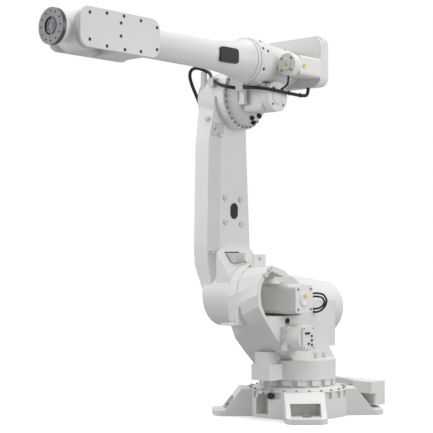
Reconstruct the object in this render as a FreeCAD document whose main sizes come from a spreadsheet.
"""A six-axis industrial robot arm, floor mounted, with a spring balancer behind its lower arm.

Millimetres. The origin is where the first axis meets the floor, +X points the way the arm reaches,
+Y to the robot's left and +Z up. The arm stands in its home pose: lower arm upright, forearm level.
"""

import math
import os
import re

import FreeCAD
import Part
import Sketcher

Vector = FreeCAD.Vector
Rotation = FreeCAD.Rotation

doc = FreeCAD.newDocument("robot_arm")
sheet = doc.addObject("Spreadsheet::Sheet", "dims")

# Driving dimensions: alias, value in millimetres (or degrees, or a count), and what it is.
DIMENSIONS = [
    # axes
    ("axis2_x", 320, "second axis ahead of the first"),
    ("axis2_z", 780, "second axis above the floor"),
    ("arm_length", 1280, "second axis to third axis"),
    ("wrist_rise", 200, "forearm axis above the third axis"),
    ("forearm_length", 1592.5, "third axis to wrist centre, along the forearm"),
    ("flange_reach", 200, "wrist centre to the tool flange face"),
    ("running_gap", 0.5, "gap between faces that turn on each other"),
    # base
    ("plate_height", 34, "foot plate thickness"),
    ("foot_reach", 556, "tip of a foot from the first axis"),
    ("foot_half", 128, "half width of a foot"),
    ("foot_corner", 62, "corner radius of a foot"),
    ("wedge_low", 512, "foot of the wedge on a foot plate, from the first axis"),
    ("wedge_high", 376, "top of the wedge on a foot plate, from the first axis"),
    ("foot_window", 190, "width of the bolt window in a foot"),
    ("window_top", 112, "top of the bolt window"),
    ("window_rear", 345, "back of the bolt window, from the first axis"),
    ("anchor_radius", 13, "anchor bolt hole radius"),
    ("anchor_x", 315, "anchor bolt holes ahead of and behind the first axis"),
    ("anchor_y", 325, "anchor bolt holes to each side"),
    ("base_drum_radius", 332, "drum of the base casting"),
    ("base_height", 172, "top of the base drum"),
    ("rim_pocket_count", 24, "pockets round the top of the base drum"),
    ("rim_pocket_width", 52, "width of a rim pocket"),
    ("rim_pocket_height", 42, "height of a rim pocket"),
    ("channel_width", 130, "cable channel at the front of the base"),
    ("box_rear", 468, "connector box reaches behind the first axis"),
    ("box_front", 300, "front of the connector box behind the first axis"),
    ("box_skirt", 345, "front of the box's lower part behind the first axis"),
    ("box_shelf", 128, "underside of the box where it sits on the base"),
    ("box_bottom", 50, "underside of the connector box"),
    ("box_half_width", 385, "half width of the connector box"),
    ("box_height", 205, "top of the connector box"),
    ("bearing_radius", 236, "fixed bearing ring radius"),
    ("bearing_top", 200, "top of the fixed bearing ring"),
    # turret
    ("turret_radius", 254, "turret drum radius"),
    ("turret_ring_top", 238, "top of the bolted ring under the turret"),
    ("turret_drum_top", 362, "top of the turret drum"),
    ("turret_lug_count", 16, "bolt lugs on the turret ring"),
    ("seam_y", -140, "joint face between turret and lower arm"),
    ("turret_near_y", 100, "left face of the turret casting"),
    ("drum_radius", 208, "drum round the second axis"),
    ("rim_wall", 36, "wall of the drum round the motor recess"),
    ("recess_depth", 165, "depth of the motor recess"),
    ("motor_half", 95, "half side of a large servo motor"),
    ("motor2_x", 195, "lower arm motor ahead of the first axis"),
    ("motor2_z", 757, "lower arm motor above the floor"),
    ("motor2_end", 212, "outer end of the lower arm motor"),
    ("cap_length", 62, "length of a motor's end cap"),
    ("panel_y", 252, "face of the brake release panel"),
    ("stop_radius", 360, "first axis to its mechanical stop"),
    ("stop_pin_radius", 17, "pin that meets the stop"),
    ("stop_clearance", 12, "gap round the stop pin's path"),
    # lower arm
    ("arm_near_y", -256, "left face of the lower arm"),
    ("arm_width", 186, "lower arm thickness"),
    ("arm_chamfer", 56, "front long edge chamfer of the lower arm"),
    ("rear_chamfer", 30, "rear long edge chamfer of the lower arm"),
    ("arm_edge", 14, "right front long edge chamfer of the lower arm"),
    ("arm_hub_radius", 206, "lower arm hub at the second axis"),
    ("flare_radius", 335, "foot of the hub flare on the lower arm"),
    ("top_hub_radius", 200, "lower arm hub at the third axis"),
    # upper arm
    ("disc3_radius", 202, "gear disc on the third axis"),
    ("motor3_radius", 95, "upper arm motor radius"),
    ("motor3_end", 112, "outer end of the upper arm motor"),
    ("ring4_x", 530, "face where the forearm turns on the arm housing"),
    ("housing_radius", 146, "arm housing round the forearm axis"),
    ("collar_x", 420, "rear of the collar round the forearm joint"),
    ("block_x", 95, "front face of the motor block behind the housing"),
    ("block_depth", 45, "depth of the motor block"),
    ("block_left", 262, "left end of the motor block"),
    ("block_right", 238, "right end of the motor block"),
    ("block_low", 135, "motor block below the forearm axis"),
    ("block_high", 185, "motor block above the forearm axis"),
    ("cover_depth", 55, "depth of the rear cover"),
    ("small_motor_half", 62, "half side of a wrist motor"),
    ("small_motor_y", 204, "wrist motors each side of the forearm axis"),
    ("small_motor_drop", 22, "wrist motors below the forearm axis"),
    ("small_motor_end", 362, "front end of a wrist motor ahead of the first axis"),
    # forearm and wrist
    ("tube_rear_radius", 106, "forearm tube radius behind its cover"),
    ("tube_mid_radius", 94, "forearm tube radius past its cover"),
    ("tube_front_radius", 84, "forearm tube radius at the wrist"),
    ("wrist_half_width", 118, "half width of the wrist casting"),
    ("wrist_cover", 14, "thickness of a wrist side cover"),
    ("wrist_rear_x", 1420, "rear end of the wrist side covers"),
    ("fork_height", 96, "half height of the wrist fork"),
    ("throat", 225, "front of the closed wrist casting behind the wrist centre"),
    ("tilt_radius", 112, "tilt housing radius"),
    ("tilt_half_width", 78, "half width of the tilt housing"),
    ("flange_radius", 100, "tool flange radius"),
    ("flange_thickness", 26, "tool flange thickness"),
    ("flange_bolt_radius", 5, "tool bolt hole radius"),
    ("flange_pitch_radius", 80, "radius of the tool bolt circle"),
    ("flange_bolt_count", 12, "tool bolt holes"),
    ("flange_pilot_radius", 50, "pilot recess in the tool flange"),
    # balancer
    ("balancer_y", -358, "balancer line to the side of the first axis"),
    ("balancer_radius", 195, "balancer cylinder radius"),
    ("trunnion_x", -430, "balancer trunnion, behind the first axis"),
    ("trunnion_z", 690, "balancer trunnion above the floor"),
    ("balancer_front", 150, "balancer cylinder ahead of its trunnion"),
    ("balancer_back", 315, "balancer cylinder behind its trunnion"),
    ("lug_radius", 150, "second axis to the balancer pin"),
    ("rod_radius", 20, "balancer rod radius"),
    ("mouth_radius", 62, "mouth of the balancer cylinder"),
    # cables
    ("cable_radius", 11, "radius of a harness cable"),
    ("thin_cable_radius", 6.5, "radius of a motor cable"),
]
for row, (alias, number, note) in enumerate(DIMENSIONS, start=1):
    sheet.set(f"A{row}", note)
    sheet.set(f"B{row}", str(number))
    sheet.setAlias(f"B{row}", alias)
doc.recompute()

ALIASES = {alias for alias, number, note in DIMENSIONS}
AXIS_TURN = {
    "x": Rotation(Vector(0, 1, 0), 90),
    "y": Rotation(Vector(1, 0, 0), -90),
    "z": Rotation(),
}
nodes = []


# ---------------------------------------------------------------- tools for bound objects
def bound(text):
    """An expression in plain aliases, written the way the document's objects read it."""
    return re.sub(r"[a-z][a-z_0-9]*", lambda w: f"dims.{w[0]}" if w[0] in ALIASES else w[0], str(text))


def size(text):
    """The number that an expression in plain aliases comes to."""
    return float(sheet.evalExpression(bound(text)))


def drive(item, **sizes):
    for name, text in sizes.items():
        item.setExpression(name, bound(text))
    return item


def put(item, x="0", y="0", z="0", turn=None):
    """Places an item at a bound point, turned as given."""
    item.Placement = FreeCAD.Placement(Vector(size(x), size(y), size(z)), turn or Rotation())
    for axis, text in zip("xyz", (x, y, z)):
        item.setExpression(f"Placement.Base.{axis}", bound(text))
    return item


def block(name, x, y, z, turn=None):
    """A box between pairs of bound coordinates."""
    item = doc.addObject("Part::Box", name)
    drive(item, Length=f"({x[1]}) - ({x[0]})", Width=f"({y[1]}) - ({y[0]})", Height=f"({z[1]}) - ({z[0]})")
    return put(item, x[0], y[0], z[0], turn)


def along(axis, start, centre):
    """The bound start point of a round piece that lies along an axis."""
    where = {"x": (start, *centre), "y": (centre[0], start, centre[1]), "z": (*centre, start)}
    return where[axis]


def drum(name, axis, span, centre, radius):
    """A cylinder along an axis, between two bound places on it."""
    item = doc.addObject("Part::Cylinder", name)
    drive(item, Radius=radius, Height=f"({span[1]}) - ({span[0]})")
    return put(item, *along(axis, span[0], centre), AXIS_TURN[axis])


def cone(name, axis, span, centre, radii):
    """A cone frustum along an axis, with a bound radius at each end."""
    item = doc.addObject("Part::Cone", name)
    drive(item, Radius1=radii[0], Radius2=radii[1], Height=f"({span[1]}) - ({span[0]})")
    return put(item, *along(axis, span[0], centre), AXIS_TURN[axis])


def combined(kind, name, shapes):
    item = doc.addObject(kind, name)
    item.Shapes = shapes
    item.Refine = True
    return item


def fuse(name, *shapes):
    return combined("Part::MultiFuse", name, list(shapes))


def common(name, *shapes):
    return combined("Part::MultiCommon", name, list(shapes))


def cut(name, base, *tools):
    """A piece with one or more tools taken out of it."""
    item = doc.addObject("Part::Cut", name)
    item.Base = base
    item.Tool = tools[0] if len(tools) == 1 else fuse(f"{name}_tools", *tools)
    item.Refine = True
    return item


def seated(name, item, *neighbours):
    """A piece trimmed to sit on its neighbours, which stay whole."""
    return cut(name, item, *neighbours)


def compound(name, items):
    """Like pieces that share a name and don't touch."""
    item = doc.addObject("Part::Compound", name)
    item.Links = items
    return item


def rounded(name, base, radius, wanted):
    """A fillet on the edges that a test of their middle point and direction picks out."""
    doc.recompute()
    item = doc.addObject("Part::Fillet", name)
    item.Base = base
    item.Edges = [(n, size(radius), size(radius)) for n, edge in enumerate(base.Shape.Edges, 1) if wanted(edge)]
    doc.recompute()
    return item


def runs(edge, axis):
    """Whether an edge is straight and lies along an axis."""
    if not isinstance(edge.Curve, Part.Line):
        return False
    return abs(getattr(edge.Curve.Direction, axis)) > 0.999


def middle(edge):
    return edge.valueAt((edge.FirstParameter + edge.LastParameter) / 2)


# ---------------------------------------------------------------- tools for bodies
def sketch(body, plane, outline, offset="0"):
    """A closed outline of bound points on one of the body's own planes."""
    item = body.newObject("Sketcher::SketchObject", f"{body.Name}_outline")
    origin = [feature for feature in body.Origin.OriginFeatures if feature.Role == f"{plane}_Plane"][0]
    item.AttachmentSupport = [(origin, "")]
    item.MapMode = "FlatFace"
    sign = "-1 * " if plane == "XZ" else ""
    item.setExpression("AttachmentOffset.Base.z", bound(f"{sign}({offset})"))
    points = [Vector(size(across), size(up), 0) for across, up in outline]
    count = len(points)
    for n in range(count):
        item.addGeometry(Part.LineSegment(points[n], points[(n + 1) % count]))
    for n in range(count):
        item.addConstraint(Sketcher.Constraint("Coincident", n, 2, (n + 1) % count, 1))
    for n, (across, up) in enumerate(outline):
        for kind, text in (("DistanceX", across), ("DistanceY", up)):
            index = item.addConstraint(Sketcher.Constraint(kind, -1, 1, n, 1, size(text)))
            item.setExpression(f"Constraints[{index}]", bound(text))
    return item


def pocket(body, profile, length, backwards=False):
    """A pocket from its sketch, which must take something away."""
    doc.recompute()
    before = body.Shape.Volume
    item = body.newObject("PartDesign::Pocket", f"{body.Name}_pocket")
    item.Profile = profile
    item.Reversed = backwards
    drive(item, Length=length)
    doc.recompute()
    if body.Shape.Volume >= before:
        raise RuntimeError(f"{item.Name} cuts nothing")
    return item


def loft(body, profiles):
    """A straight-sided loft through outlines with as many points each."""
    item = body.newObject("PartDesign::AdditiveLoft", f"{body.Name}_loft")
    item.Profile = profiles[0]
    item.Sections = profiles[1:]
    item.Ruled = True
    return item


def feature(body, kind, axis, span, centre, **sizes):
    """A cylinder or cone feature of a body, along an axis between two bound places."""
    item = body.newObject(f"PartDesign::{kind}", f"{body.Name}_{kind}")
    drive(item, Height=f"({span[1]}) - ({span[0]})", **sizes)
    return put(item, *along(axis, span[0], centre), AXIS_TURN[axis])


def box_feature(body, kind, x, y, z):
    """A box feature of a body, between pairs of bound coordinates."""
    item = body.newObject(f"PartDesign::{kind}", f"{body.Name}_{kind}")
    drive(item, Length=f"({x[1]}) - ({x[0]})", Width=f"({y[1]}) - ({y[0]})", Height=f"({z[1]}) - ({z[0]})")
    return put(item, x[0], y[0], z[0])


def new_body(name):
    return doc.addObject("PartDesign::Body", name)


def cable(name, route, radius):
    """A round tube along straight runs joined by tangent arcs, each as large as its runs allow."""
    points = [Vector(*spot) for spot in route]
    edges = []
    start = points[0]
    for before, corner, after in zip(points, points[1:], points[2:]):
        back = (before - corner).normalize()
        ahead = (after - corner).normalize()
        reach = 0.45 * min(before.distanceToPoint(corner), corner.distanceToPoint(after))
        half = back.getAngle(ahead) / 2
        bend = reach * math.tan(half)
        centre = corner + (back + ahead).normalize() * (bend / math.sin(half))
        first, last = corner + back * reach, corner + ahead * reach
        mid = centre + (corner - centre).normalize() * bend
        edges += [Part.LineSegment(start, first).toShape(), Part.Arc(first, mid, last).toShape()]
        start = last
        print(f"{name}: bend radius {bend:.0f}")
    edges.append(Part.LineSegment(start, points[-1]).toShape())
    spine = Part.Wire(edges)
    section = Part.Wire([Part.makeCircle(size(radius), points[0], points[1] - points[0])])
    item = doc.addObject("Part::Feature", name)
    item.Shape = spine.makePipeShell([section], True, False)
    expected = spine.Length * math.pi * size(radius) ** 2
    if abs(item.Shape.Volume / expected - 1) > 0.01:
        raise RuntimeError(f"{name} is not a whole tube")
    print(f"{name}: {spine.Length:.0f} long")
    return item


def piece(name, item):
    """Names a finished sub-part."""
    item.Label = name
    nodes.append(item)
    return item


# ---------------------------------------------------------------- base
def wedge(item, quarter):
    """Sizes a wedge that rises along a foot, from the first axis out, and turns it to its quarter."""
    item.setExpression("Xmin", bound("0.6 * wedge_high"))
    item.setExpression("X2min", bound("0.6 * wedge_high"))
    item.setExpression("Xmax", bound("wedge_low"))
    item.setExpression("X2max", bound("wedge_high"))
    item.Ymin = 0
    item.setExpression("Ymax", bound("base_height"))
    for name in ("Zmin", "Z2min"):
        item.setExpression(name, bound("-1 * foot_half"))
    for name in ("Zmax", "Z2max"):
        item.setExpression(name, bound("foot_half"))
    out = Vector(math.cos(math.radians(quarter)), math.sin(math.radians(quarter)), 0)
    up = Vector(0, 0, 1)
    item.Placement = FreeCAD.Placement(Vector(0, 0, 0), Rotation(out, up, out.cross(up), "XYZ"))
    return item


def turned_box(body, kind, quarter, along_foot, width, z):
    """A box feature that lies along a foot, between two distances from the first axis."""
    item = body.newObject(f"PartDesign::{kind}", f"{body.Name}_{kind}")
    drive(item, Length=f"({along_foot[1]}) - ({along_foot[0]})", Width=f"2 * ({width})",
          Height=f"({z[1]}) - ({z[0]})")
    put(item, "0", "0", z[0], Rotation(Vector(0, 0, 1), quarter))
    item.setExpression("Placement.Base.x", bound(f"({along_foot[0]}) * cos({quarter}) + ({width}) * sin({quarter})"))
    item.setExpression("Placement.Base.y", bound(f"({along_foot[0]}) * sin({quarter}) - ({width}) * cos({quarter})"))
    return item


QUARTERS = (45, 135, 225, 315)


def base_casting():
    """A drum on four feet, each with a wedge and a bolt window, and pockets round the rim."""
    body = new_body("base_casting")
    feature(body, "AdditiveCylinder", "z", ("0", "base_height"), ("0", "0"), Radius="base_drum_radius")
    for quarter in QUARTERS:
        plate = turned_box(body, "AdditiveBox", quarter, ("0.6 * wedge_high", "foot_reach"), "foot_half",
                           ("0", "plate_height"))
    doc.recompute()
    corners = body.newObject("PartDesign::Fillet", "foot_corners")
    reach = size("foot_reach")

    def outer(edge):
        return runs(edge, "z") and math.hypot(middle(edge).x, middle(edge).y) > reach

    corners.Base = (plate, [f"Edge{n}" for n, edge in enumerate(body.Shape.Edges, 1) if outer(edge)])
    drive(corners, Radius="foot_corner")
    for quarter in QUARTERS:
        wedge(body.newObject("PartDesign::AdditiveWedge", "foot_wedge"), quarter)
    for quarter in QUARTERS:
        turned_box(body, "SubtractiveBox", quarter, ("window_rear", "wedge_low + 10"), "0.5 * foot_window",
                   ("plate_height", "window_top"))
    box_feature(body, "SubtractiveBox", ("-1 * box_rear", "-1 * box_front"),
                ("-1 * box_half_width", "box_half_width"), ("box_shelf", "base_height + 10"))
    channel_y = ("-0.6 * channel_width", "0.18 * channel_width")
    box_feature(body, "SubtractiveBox", ("base_drum_radius - 90", "base_drum_radius + 10"), channel_y,
                ("0.6 * plate_height", "base_height - 22"))
    rim = box_feature(body, "SubtractiveBox", ("base_drum_radius - 16", "base_drum_radius + 10"),
                      ("-0.5 * rim_pocket_width", "0.5 * rim_pocket_width"),
                      ("base_height - 6 - rim_pocket_height", "base_height - 6"))
    doc.recompute()
    ring = body.newObject("PartDesign::PolarPattern", "rim_pockets")
    ring.Originals = [rim]
    ring.Axis = ([f for f in body.Origin.OriginFeatures if f.Role == "Z_Axis"][0], [""])
    ring.Angle = 360
    ring.setExpression("Occurrences", bound("rim_pocket_count"))
    body.Tip = ring
    for side_x in (1, -1):
        for side_y in (1, -1):
            feature(body, "SubtractiveCylinder", "z", ("-5", "plate_height + 5"),
                    (f"{side_x} * anchor_x", f"{side_y} * anchor_y"), Radius="anchor_radius")
    piece("base_casting", body)
    plug = drum("cable_plug", "x", ("base_drum_radius - 14", "base_drum_radius + 8"), ("46", "base_height - 27"), "21")
    piece("base_cable_plug", seated("cable_plug_seat", plug, body))
    return body


def connector_box():
    """The connector housing across the back of the base, dished round the stop pin's path."""
    sides = ("-1 * box_half_width", "box_half_width")
    upper = block("box_upper", ("-1 * box_rear", "-1 * box_front"), sides, ("box_shelf", "box_height"))
    lower = block("box_lower", ("-1 * box_rear", "-1 * box_skirt"), sides, ("box_bottom", "box_shelf + 1"))
    shell = rounded("box_round", fuse("box_shell", upper, lower), "22", lambda edge: runs(edge, "z"))
    dish = drum("box_dish", "z", ("base_height", "box_height + 5"), ("0", "0"),
                "stop_radius + stop_pin_radius + stop_clearance")
    feet = [wedge(doc.addObject("Part::Wedge", "box_wedge"), quarter) for quarter in (135, 225)]
    return piece("connector_box", cut("box", shell, dish, *feet))


def bearing_ring():
    """The fixed ring that the turret turns on."""
    low = cone("bearing_low", "z", ("base_height", "bearing_top - 8"), ("0", "0"),
               ("base_drum_radius - 42", "bearing_radius + 8"))
    high = drum("bearing_high", "z", ("bearing_top - 8", "bearing_top"), ("0", "0"), "bearing_radius")
    return piece("axis1_bearing_ring", fuse("bearing", low, high))


def base_stop():
    """The block behind the base that the turret's stop pin meets past its last turn."""
    return piece("axis1_base_stop", block("base_stop", ("-1 * stop_radius - 20", "-1 * stop_radius + 20"),
                                          ("-60", "-4"), ("base_height", "box_height + 28")))


# ---------------------------------------------------------------- turret
def turret_ring():
    """The bolted ring under the turret drum, with lugs round it."""
    body = new_body("turret_ring")
    start, end = "bearing_top + running_gap", "turret_ring_top"
    feature(body, "AdditiveCylinder", "z", (start, end), ("0", "0"), Radius="turret_radius - 22")
    lug = box_feature(body, "AdditiveBox", ("turret_radius - 60", "turret_radius - 4"), ("-30", "30"), (start, end))
    doc.recompute()
    ring = body.newObject("PartDesign::PolarPattern", "turret_lugs")
    ring.Originals = [lug]
    ring.Axis = ([f for f in body.Origin.OriginFeatures if f.Role == "Z_Axis"][0], [""])
    ring.Angle = 360
    ring.setExpression("Occurrences", bound("turret_lug_count"))
    body.Tip = ring
    return piece("turret_ring", body)


def turret_casting():
    """The drum on the first axis and the leaning frame that carries the second, open to the left."""
    body = new_body("turret_casting")
    far = [
        ("axis2_x + drum_radius + 6", "axis2_z - 10"), ("axis2_x + drum_radius", "axis2_z - 80"),
        ("axis2_x + 195", "axis2_z - 160"), ("461", "509"), ("363", "414"), ("283", "344"),
        ("240", "turret_ring_top + 5"), ("-240", "turret_ring_top + 5"), ("-330", "turret_drum_top + 10"),
        ("-265", "450"), ("-200", "540"), ("-105", "640"), ("-10", "742"), ("84", "871"),
        ("axis2_x - 110", "axis2_z + 165"), ("axis2_x + 20", "axis2_z + drum_radius"),
        ("axis2_x + 130", "axis2_z + 165"), ("axis2_x + 195", "axis2_z + 90"),
    ]
    near = [
        ("axis2_x + drum_radius", "axis2_z + 10"), ("axis2_x + drum_radius - 11", "axis2_z - 64"),
        ("axis2_x + 149", "axis2_z - 126"), ("317", "484"), ("137", "turret_drum_top - 25"),
        ("75", "turret_drum_top - 37"), ("-115", "turret_drum_top - 35"), ("-245", "turret_drum_top - 16"),
        ("-279", "turret_drum_top - 3"), ("-206", "446"), ("-116", "599"), ("-27", "726"), ("61", "813"),
        ("axis2_x - 173", "axis2_z + 89"), ("axis2_x - 64", "axis2_z + 158"),
        ("axis2_x + 67", "axis2_z + drum_radius - 15"), ("axis2_x + 142", "axis2_z + 150"),
        ("axis2_x + 190", "axis2_z + 88"),
    ]
    frame = [sketch(body, "XZ", far, "seam_y"), sketch(body, "XZ", near, "turret_near_y")]
    loft(body, frame)
    centre = ("axis2_x", "axis2_z")
    feature(body, "AdditiveCylinder", "y", ("seam_y", "seam_y + 70"), centre, Radius="drum_radius")
    feature(body, "AdditiveCylinder", "z", ("turret_ring_top", "turret_drum_top"), ("0", "0"), Radius="turret_radius")
    recess = [
        ("axis2_x + drum_radius - rim_wall", "axis2_z + 10"), ("axis2_x + drum_radius - rim_wall - 8", "axis2_z - 52"),
        ("axis2_x + 120", "motor2_z - motor_half - 12"),
        ("motor2_x - motor_half - 12", "motor2_z - motor_half - 12"),
        ("motor2_x - motor_half - 12", "motor2_z + motor_half + 45"),
        ("motor2_x - 5", "motor2_z + motor_half + 45"), ("axis2_x - 58", "axis2_z + 120"),
        ("axis2_x + 60", "axis2_z + 155"), ("axis2_x + 120", "axis2_z + 125"), ("axis2_x + 160", "axis2_z + 75"),
    ]
    pocket(body, sketch(body, "XZ", recess, "turret_near_y"), "recess_depth", backwards=True)
    piece("turret_casting", body)
    plug = drum("oil_plug", "y", ("turret_near_y", "turret_near_y + 10"), ("231", "618"), "17")
    piece("turret_oil_plug", plug)
    return body


def square_motor(name, axis, span, centre, half):
    """A servo motor: a ribbed square body, along an axis from its flange to its cap."""
    first, second = [letter for letter in "xyz" if letter != axis]
    pairs = {axis: span}
    pairs[first] = (f"{centre[0]} - ({half})", f"{centre[0]} + ({half})")
    pairs[second] = (f"{centre[1]} - ({half})", f"{centre[1]} + ({half})")
    return rounded(f"{name}_round", block(f"{name}_block", pairs["x"], pairs["y"], pairs["z"]),
                   f"0.3 * ({half})", lambda edge: runs(edge, axis))


def axis2_motor():
    """The lower arm's motor, standing out of the recess, and its end cap."""
    centre = ("motor2_x", "motor2_z")
    foot, shoulder = "turret_near_y - recess_depth", "motor2_end - cap_length"
    piece("axis2_motor", square_motor("motor2", "y", (foot, shoulder), centre, "motor_half"))
    cap = square_motor("motor2_cap", "y", (shoulder, "motor2_end"), centre, "motor_half - 6")
    return piece("axis2_motor_cap", cap)


def sensor_housing():
    """The drum under the motor that holds the position sensor board, and its button panel."""
    body = fuse("sensor_body", drum("sensor_drum", "y", ("turret_near_y", "panel_y - 12"), ("210", "515"), "84"),
                block("sensor_back", ("130", "290"), ("turret_near_y", "turret_near_y + 50"), ("430", "584")))
    piece("sensor_housing", body)
    panel = block("panel", ("144", "262"), ("panel_y - 12", "panel_y"), ("442", "586"))
    piece("brake_release_panel", rounded("panel_round", panel, "8", lambda edge: runs(edge, "y")))
    buttons = [drum("button", "y", ("panel_y", "panel_y + 6"), spot, "7")
               for spot in [("232", "544"), ("216", "544"), ("200", "544"), ("172", "526"),
                            ("172", "498"), ("172", "470"), ("205", "478")]]
    return piece("brake_buttons", compound("buttons", buttons))


def stops_and_lug(turret):
    """The arm's stop bracket, the turret's stop block and pin, and the lifting lug."""
    shelf = block("shelf", ("450", "600"), ("seam_y + 2", "-48"), ("596", "610"))
    post = block("post", ("488", "536"), ("-64", "-48"), ("596", "712"))
    piece("axis2_stop_bracket", seated("stop_bracket", fuse("stop_bracket_blank", shelf, post), turret))
    upper = block("stop_upper", ("stop_radius - 140", "stop_radius - 18"), ("-75", "41"), ("342", "420"))
    lower = block("stop_lower", ("turret_radius - 30", "stop_radius + stop_pin_radius"), ("-75", "73"), ("242", "343"))
    piece("axis1_stop_block", seated("stop_block", fuse("stop_block_blank", upper, lower), turret))
    piece("axis1_stop_pin", drum("stop_pin", "z", ("base_height + 8", "242"), ("stop_radius", "32"), "stop_pin_radius"))
    lug = block("lug_plate", ("282", "400"), ("-58", "-34"), ("axis2_z + drum_radius - 40", "axis2_z + 262"))
    eye = drum("lug_eye", "y", ("-70", "-20"), ("341", "axis2_z + 232"), "14")
    return piece("lifting_lug", seated("lug", lug, eye, turret))


def balancer_bracket():
    """The yoke that holds the balancer's trunnions beside the turret frame."""
    inner = block("yoke_inner", ("trunnion_x - 185", "-110"), ("seam_y - 17", "seam_y"), ("400", "720"))
    outer = block("yoke_outer", ("trunnion_x - 60", "trunnion_x + 150"),
                  ("balancer_y - balancer_radius - 40", "balancer_y - balancer_radius - 20"), ("330", "720"))
    beam = block("yoke_beam", ("trunnion_x - 40", "trunnion_x + 140"),
                 ("balancer_y - balancer_radius - 40", "seam_y"), ("330", "400"))
    bore = drum("yoke_bore", "y", ("balancer_y - balancer_radius - 60", "seam_y + 20"),
                ("trunnion_x", "trunnion_z"), "31")
    return piece("balancer_bracket", cut("yoke", fuse("yoke_blank", inner, outer, beam), bore))


# ---------------------------------------------------------------- balancer
TILT = "atan((axis2_z - trunnion_z) / (axis2_x - trunnion_x))"
REACH = "sqrt((axis2_z - trunnion_z)^2 + (axis2_x - trunnion_x)^2) - lug_radius"


def sloped(name, kind, span, lift="0", **sizes):
    """A round piece on the balancer's line, measured forward from its trunnion."""
    item = doc.addObject(f"Part::{kind}", name)
    drive(item, Height=f"({span[1]}) - ({span[0]})", **sizes)
    angle = size(TILT)
    turn = Rotation(Vector(0, 1, 0), 90 - angle)
    item.Placement = FreeCAD.Placement(Vector(0, 0, 0), turn)
    item.setExpression("Placement.Base.x", bound(f"trunnion_x + ({span[0]}) * cos({TILT})"))
    item.setExpression("Placement.Base.y", bound("balancer_y"))
    item.setExpression("Placement.Base.z", bound(f"trunnion_z + ({span[0]}) * sin({TILT})"))
    return item


def balancer():
    """The spring cylinder with its mouth, trunnions and domed rear cap, and the rod to the lower arm."""
    shell = sloped("balancer_shell", "Cylinder", ("-1 * balancer_back", "balancer_front"), Radius="balancer_radius")
    nose = sloped("balancer_nose", "Cone", ("balancer_front", "balancer_front + 40"),
                  Radius1="balancer_radius * 0.62", Radius2="mouth_radius + 16")
    bore = sloped("balancer_bore", "Cylinder", ("-90", "balancer_front + 60"), Radius="mouth_radius")
    pins = drum("trunnions", "y", ("balancer_y - balancer_radius - 38", "seam_y - 2"),
                ("trunnion_x", "trunnion_z"), "30")
    piece("balancer_cylinder", cut("balancer_body", fuse("balancer_blank", shell, nose, pins), bore))
    cap = sloped("balancer_dome", "Cone", ("-1 * balancer_back - 42", "-1 * balancer_back"),
                 Radius1="balancer_radius - 45", Radius2="balancer_radius - 4")
    piece("balancer_cap", cap)
    pin_x, pin_z = f"trunnion_x + ({REACH}) * cos({TILT})", f"trunnion_z + ({REACH}) * sin({TILT})"
    rod = sloped("rod_bar", "Cylinder", ("-40", REACH), Radius="rod_radius")
    eye = drum("rod_eye", "y", ("balancer_y - 23", "balancer_y + 23"), (pin_x, pin_z), "50")
    hole = drum("rod_hole", "y", ("balancer_y - 40", "balancer_y + 40"), (pin_x, pin_z), "22.5")
    piece("balancer_rod", cut("rod", fuse("rod_blank", rod, eye), hole))
    return piece("balancer_pin", drum("pin", "y", ("balancer_y - 50", "balancer_y + 50"), (pin_x, pin_z), "22"))


# ---------------------------------------------------------------- lower arm
def octagon(x, y, rear, front):
    """An oblong section with its four corners cut off, the right front one least."""
    (x0, x1), (y0, y1) = x, y
    edge = "arm_edge"
    return [
        (x0, f"{y0} + {rear}"), (f"{x0} + {rear}", y0), (f"{x1} - {edge}", y0), (x1, f"{y0} + {edge}"),
        (x1, f"{y1} - {front}"), (f"{x1} - {front}", y1), (f"{x0} + {rear}", y1), (x0, f"{y1} - {rear}"),
    ]


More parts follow.
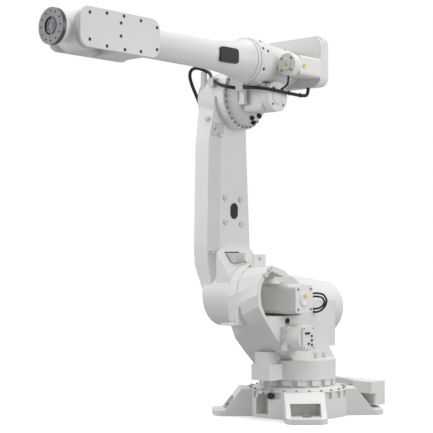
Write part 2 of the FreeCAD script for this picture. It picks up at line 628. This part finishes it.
def lower_arm_casting():
    """The cast lower arm: a chamfered beam between two hubs, forked behind for the balancer."""
    far, near = "arm_near_y - arm_width", "arm_near_y"
    beam = new_body("arm_beam")
    sections = [
        ("axis2_z", ("axis2_x - 170", "axis2_x + 190"), (f"{far} + 64", near), "25", "30"),
        ("axis2_z + 110", ("axis2_x - 172", "axis2_x + 198"), (f"{far} + 26", near), "28", "40"),
        ("axis2_z + 200", ("axis2_x - 171", "axis2_x + 209"), (far, near), "rear_chamfer", "arm_chamfer"),
        ("axis2_z + 320", ("axis2_x - 170", "axis2_x + 215"), (far, near), "rear_chamfer", "arm_chamfer"),
        ("axis2_z + arm_length - 290", ("axis2_x - 134", "axis2_x + 200"), (far, near), "rear_chamfer",
         "arm_chamfer"),
        ("axis2_z + arm_length - 70", ("axis2_x - 130", "axis2_x + 168"), (far, near), "28", "40"),
        ("axis2_z + arm_length", ("axis2_x - 128", "axis2_x + 150"), (far, near), "25", "30"),
    ]
    outlines = [sketch(beam, "XY", octagon(x, y, rear, front), up) for up, x, y, rear, front in sections]
    loft(beam, outlines)
    low, high = ("axis2_x", "axis2_z"), ("axis2_x", "axis2_z + arm_length")
    face2, face3 = "seam_y - running_gap", "arm_near_y + 8"
    hub = drum("low_hub", "y", (f"{far} + 78", face2), low, "arm_hub_radius")
    seat = block("damper_seat", ("343", "457"), (near, "seam_y + 10"), ("axis2_z + 207", "axis2_z + 279"))
    flare = common("low_flare_whole", cone("low_flare_cone", "y", (near, face2), low, ("flare_radius", "arm_hub_radius")),
                   block("low_flare_box", ("axis2_x - 150", "axis2_x + 190"), (near, face2),
                         ("axis2_z", "axis2_z + flare_radius")))
    flare = cut("low_flare", flare, seat)
    top = cone("top_hub", "y", (far, face3), high, ("top_hub_radius - 34", "top_hub_radius"))
    ramp = common("top_flare", cone("top_flare_cone", "y", (near, face3), high, ("300", "top_hub_radius")),
                  block("top_flare_box", ("axis2_x - 90", "axis2_x + 215"), (near, face3),
                        ("axis2_z + arm_length - 300", "axis2_z + arm_length")))
    blank = fuse("arm_blank", beam, hub, flare, top, ramp)
    pin = (f"trunnion_x + ({REACH}) * cos({TILT})", f"trunnion_z + ({REACH}) * sin({TILT})")
    slot = block("fork_slot", ("axis2_x - 400", "axis2_x - 58"), ("balancer_y - 90", "balancer_y + 43"),
                 ("axis2_z - 260", "axis2_z + 110"))
    cheeks = []
    for side, (start, end) in (("outer", ("balancer_y - 50", "balancer_y - 26")),
                               ("inner", ("balancer_y + 26", "balancer_y + 50"))):
        cheeks.append(block(f"cheek_{side}", (f"{pin[0]} - 10", "axis2_x - 50"), (start, end),
                            (f"{pin[1]} - 40", "axis2_z + 140")))
        cheeks.append(drum(f"cheek_{side}_end", "y", (start, end), pin, "50"))
    hole = drum("fork_hole", "y", ("balancer_y - 60", "balancer_y + 60"), pin, "22")
    forked = fuse("forked_arm", cut("slotted_arm", blank, slot), *cheeks)
    return piece("lower_arm_casting", cut("arm", forked, hole))


def lower_arm_fittings(casting):
    """The oval plug, the two dampers and the clamp on top of the lower arm."""
    skin = ("arm_near_y", "arm_near_y + 5")
    plug = fuse("plug", drum("plug_low", "y", skin, ("338", "1308"), "34"),
                drum("plug_high", "y", skin, ("338", "1343"), "34"), block("plug_mid", ("304", "372"), skin, ("1308", "1343")))
    piece("lower_arm_plug", plug)
    low = block("damper_low", ("350", "450"), ("arm_near_y", "seam_y - 12"), ("axis2_z + 209", "axis2_z + 272"))
    piece("axis2_damper", low)
    high = block("damper_high", ("450", "520"), ("arm_near_y", "arm_near_y + 11"),
                 ("axis2_z + arm_length - 238", "axis2_z + arm_length - 170"))
    return piece("axis3_damper", seated("damper_high_seat", high, casting))


# ---------------------------------------------------------------- upper arm
AXIS4 = "axis2_z + arm_length + wrist_rise"
AXIS3 = "axis2_z + arm_length"
WRIST = "axis2_x + forearm_length"


def axis3_drive():
    """The gear disc on the third axis and the motor that stands out of it."""
    face = "arm_near_y + 8 + running_gap"
    disc = drum("disc3", "y", (face, f"{face} + 62"), ("axis2_x", AXIS3), "disc3_radius")
    neck = cone("neck3", "y", (f"{face} + 62", "-110"), ("axis2_x", AXIS3), ("disc3_radius - 22", "150"))
    gearbox = piece("axis3_gearbox", fuse("gearbox3", disc, neck))
    piece("axis3_motor", square_motor("motor3", "y", ("-110", "motor3_end - cap_length"),
                                      ("axis2_x + 15", AXIS3 + " - 15"), "motor3_radius - 8"))
    piece("axis3_motor_cap", drum("cap3", "y", ("motor3_end - cap_length", "motor3_end"),
                                  ("axis2_x + 15", AXIS3 + " - 15"), "motor3_radius"))
    return gearbox


def upper_arm_housing(gearbox):
    """The casting round the forearm axis, from the joint ring back to the motor block."""
    level = ("0", AXIS4)
    body = cone("housing_tube", "x", ("block_x - 10", "collar_x"), level, ("housing_radius - 34", "housing_radius - 8"))
    collar = drum("housing_collar", "x", ("collar_x", "ring4_x"), level, "housing_radius")
    saddle = block("saddle", ("axis2_x - 150", "axis2_x + 150"), ("-132", "60"), (AXIS3 + " + 60", AXIS4))
    web = block("web", ("axis2_x - 140", "axis2_x + 140"), ("-170", "-60"), (AXIS3 + " - 60", AXIS4 + " + 20"))
    motor5 = block("motor5_room", ("block_x - 20", "small_motor_end + 30"), ("-300", "-131"),
                   (AXIS4 + " + 5", AXIS4 + " + 170"))
    half = "motor3_radius + 1"
    room = block("motor3_room", (f"axis2_x + 15 - {half}", f"axis2_x + 15 + {half}"), ("-110", "200"),
                 (f"{AXIS3} - 15 - {half}", f"{AXIS3} - 15 + {half}"))
    solid = fuse("housing_blank", body, collar, saddle, web)
    return piece("upper_arm_housing", cut("housing", solid, room, motor5, gearbox))


def motor_block():
    """The gear block across the back of the housing, its cover, and the two wrist motors on it."""
    low, high = f"{AXIS4} - block_low", f"{AXIS4} + block_high"
    back = "block_x - block_depth"
    front = block("gear_block_box", (back, "block_x - 10"), ("-1 * block_right", "block_left"), (low, high))
    piece("gear_block", rounded("gear_block_round", front, "60", lambda edge: runs(edge, "x")))
    cover = block("cover", (f"{back} - cover_depth", back), ("-1 * block_right + 5", "block_left - 5"),
                  (f"{low} + 5", f"{high} + 12"))
    piece("rear_cover", rounded("cover_sides", cover, "56", lambda edge: runs(edge, "x")))
    shoulder = "small_motor_end - cap_length"
    level = AXIS4 + " - small_motor_drop"
    piece("axis4_motor", square_motor("motor4", "x", ("block_x - 10", shoulder), ("small_motor_y", level),
                                      "small_motor_half"))
    piece("axis4_motor_cap", drum("cap4", "x", (shoulder, "small_motor_end"), ("small_motor_y", level),
                                  "small_motor_half + 8"))
    lifted = ("12 - small_motor_y", AXIS4 + " + 83")
    piece("axis5_motor", square_motor("motor5", "x", ("block_x - 10", shoulder), lifted, "small_motor_half - 14"))
    return piece("axis5_motor_cap", drum("cap5", "x", (shoulder, "small_motor_end"), lifted, "small_motor_half - 14"))


# ---------------------------------------------------------------- forearm and wrist
def forearm():
    """The turning joint ring and the long tapered tube in front of it."""
    start = "ring4_x + running_gap"
    centre = ("0", AXIS4)
    parts = [drum("ring4", "x", (start, f"{start} + 26"), centre, "housing_radius - 4")]
    stations = [
        (f"{start} + 26", "tube_rear_radius + 32"), ("610", "tube_rear_radius + 14"), ("680", "tube_rear_radius"),
        ("790", "tube_mid_radius"), ("950", "tube_mid_radius - 6"), ("wrist_rear_x + 60", "tube_front_radius"),
    ]
    for number, ((x0, r0), (x1, r1)) in enumerate(zip(stations, stations[1:])):
        parts.append(cone(f"tube_{number}", "x", (x0, x1), centre, (r0, r1)))
    tube = piece("forearm_tube", fuse("tube", *parts))
    cover = block("side_cover", ("702", "866"), ("tube_rear_radius - 45", "tube_rear_radius - 2"),
                  (AXIS4 + " - 50", AXIS4 + " + 42"))
    cover = rounded("side_cover_round", cover, "24", lambda edge: runs(edge, "y"))
    return piece("forearm_side_cover", seated("side_cover_seat", cover, tube))


def wrist_housing():
    """The fork end of the forearm and the flat cover on each of its sides."""
    rear, front, throat = "wrist_rear_x + 60", WRIST + " + 108", f"{WRIST} - throat"
    half, gap = "wrist_half_width", "tilt_half_width + running_gap"
    core = block("wrist_core", (rear, throat), (f"-1 * {half}", half), (AXIS4 + " - 100", AXIS4 + " + 104"))
    neck = cone("wrist_neck", "x", (f"{throat} - 5", f"{WRIST} - tilt_radius - 45"), ("0", AXIS4),
                ("tube_front_radius", "tube_front_radius - 12"))
    arms = []
    for side, (y0, y1) in (("left", (gap, half)), ("right", (f"-1 * {half}", f"-1 * ({gap})"))):
        arms.append(block(f"fork_{side}", (f"{throat} - 5", WRIST), (y0, y1),
                          (f"{AXIS4} - fork_height", f"{AXIS4} + fork_height")))
        arms.append(drum(f"fork_end_{side}", "y", (y0, y1), (WRIST, AXIS4), "fork_height"))
    piece("wrist_housing", fuse("wrist", core, neck, *arms))
    for side, (y0, y1) in (("left", (half, f"{half} + wrist_cover")),
                           ("right", (f"-1 * {half} - wrist_cover", f"-1 * {half}"))):
        plate = block(f"plate_{side}", ("wrist_rear_x", front), (y0, y1), (AXIS4 + " - 108", AXIS4 + " + 112"))
        piece(f"wrist_cover_{side}", rounded(f"plate_{side}_round", plate, "62", lambda edge: runs(edge, "y")))


def tool_end():
    """The tilting housing on the fifth axis and the tool flange on the sixth."""
    back = WRIST + " + flange_reach - flange_thickness - running_gap - 8"
    hub = drum("tilt_hub", "y", ("-1 * tilt_half_width", "tilt_half_width"), (WRIST, AXIS4), "tilt_radius")
    nose = drum("tilt_nose", "x", (WRIST, f"{back} - 40"), ("0", AXIS4), "tilt_half_width - 2")
    bell = cone("tilt_bell", "x", (f"{back} - 45", f"{back} - 10"), ("0", AXIS4),
                ("tilt_half_width - 2", "flange_radius - 2"))
    collar = drum("tilt_collar", "x", (f"{back} - 10", f"{back} + 8"), ("0", AXIS4), "flange_radius - 2")
    piece("tilt_housing", fuse("tilt", hub, nose, bell, collar))
    face = WRIST + " + flange_reach"
    disc = drum("flange_disc", "x", (f"{face} - flange_thickness", face), ("0", AXIS4), "flange_radius")
    pilot = drum("flange_pilot", "x", (f"{face} - 8", f"{face} + 5"), ("0", AXIS4), "flange_pilot_radius")
    holes = []
    count = int(size("flange_bolt_count"))
    for n in range(count):
        angle = f"{n} * 360 deg / flange_bolt_count"
        spot = (f"flange_pitch_radius * cos({angle})", f"{AXIS4} + flange_pitch_radius * sin({angle})")
        holes.append(drum(f"flange_hole_{n}", "x", (f"{face} - 18", f"{face} + 5"), spot, "flange_bolt_radius"))
    return piece("tool_flange", cut("flange", disc, pilot, *holes))


# ---------------------------------------------------------------- cables
def lower_harness(casting):
    """The cable over the top of the lower arm, from its outer face past a post to a clip."""
    post = block("post_plate", ("450", "480"), ("arm_near_y - 164", "arm_near_y - 134"),
                 (AXIS3 + " + 70", AXIS3 + " + 177"))
    clip = block("clip_plate", ("468", "538"), ("arm_near_y - 44", "arm_near_y - 6"),
                 (AXIS3 + " + 62", AXIS3 + " + 122"))
    route = [
        (430, -453, 1990), (475, -455, 2070), (525, -458, 2150), (558, -452, 2215), (545, -438, 2255),
        (505, -420, 2262), (465, -402, 2248), (458, -362, 2232), (480, -328, 2200), (515, -300, 2162),
    ]
    lower = piece("lower_harness", cable("lower_cable", route, "cable_radius"))
    piece("harness_post", seated("post_seat", post, casting, lower))
    return piece("harness_clip", seated("clip_seat", clip, casting, lower))


def upper_harness(housing):
    """The cables under the upper arm, from the clamp below its collar back to the motor block."""
    clamp = block("clamp_plate", ("490", "520"), ("-85", "-25"), (AXIS4 + " - 182", AXIS4 + " - 118"))
    route = [
        (505, -25, 2100), (502, 40, 2094), (468, 98, 2086), (402, 138, 2078), (310, 144, 2072),
        (215, 146, 2068), (135, 148, 2066), (66, 148, 2074), (66, 148, 2125),
    ]
    upper = piece("upper_harness", cable("upper_cable", route, "cable_radius"))
    piece("harness_clamp", seated("clamp_seat", clamp, housing, upper))
    route = [(338, 200, 2168), (340, 200, 2130), (344, 190, 2100), (350, 170, 2086), (356, 154, 2084)]
    return piece("motor4_cable", cable("motor4_lead", route, "thin_cable_radius"))


def motor2_cables():
    """Two leads that loop from the cap of the lower arm's motor into the turret."""
    outer = [
        (106, 186, 790), (30, 188, 792), (-50, 182, 782), (-105, 168, 740), (-104, 152, 698),
        (-76, 138, 672), (-48, 126, 664), (-48, 100, 664),
    ]
    inner = [
        (106, 186, 770), (30, 186, 771), (-38, 180, 762), (-80, 168, 730), (-80, 154, 704),
        (-56, 140, 690), (-28, 128, 686), (-28, 100, 686),
    ]
    leads = [cable(f"motor2_lead_{side}", route, "thin_cable_radius")
             for side, route in (("outer", outer), ("inner", inner))]
    return piece("motor2_cables", compound("motor2_leads", leads))


base_casting()
connector_box()
bearing_ring()
base_stop()
turret_ring()
turret = turret_casting()
axis2_motor()
motor2_cables()
sensor_housing()
stops_and_lug(turret)
balancer_bracket()
balancer()
casting = lower_arm_casting()
lower_arm_fittings(casting)
lower_harness(casting)
gearbox = axis3_drive()
housing = upper_arm_housing(gearbox)
upper_harness(housing)
motor_block()
forearm()
wrist_housing()
tool_end()
doc.recompute()

failed = [item.Name for item in doc.Objects if {"Invalid", "Error"} & set(item.State)]
if failed:
    raise RuntimeError(f"these objects failed: {failed}")
os.makedirs("parts", exist_ok=True)
for item in nodes:
    shape = item.Shape
    if shape.isNull() or not shape.isValid() or not shape.Solids:
        raise RuntimeError(f"{item.Label} has no valid shape")
    shape.exportStep(f"parts/{item.Label}.step")
    print(f"{item.Label}: {len(shape.Solids)} solid, {shape.Volume / 1e6:.3f} litres")
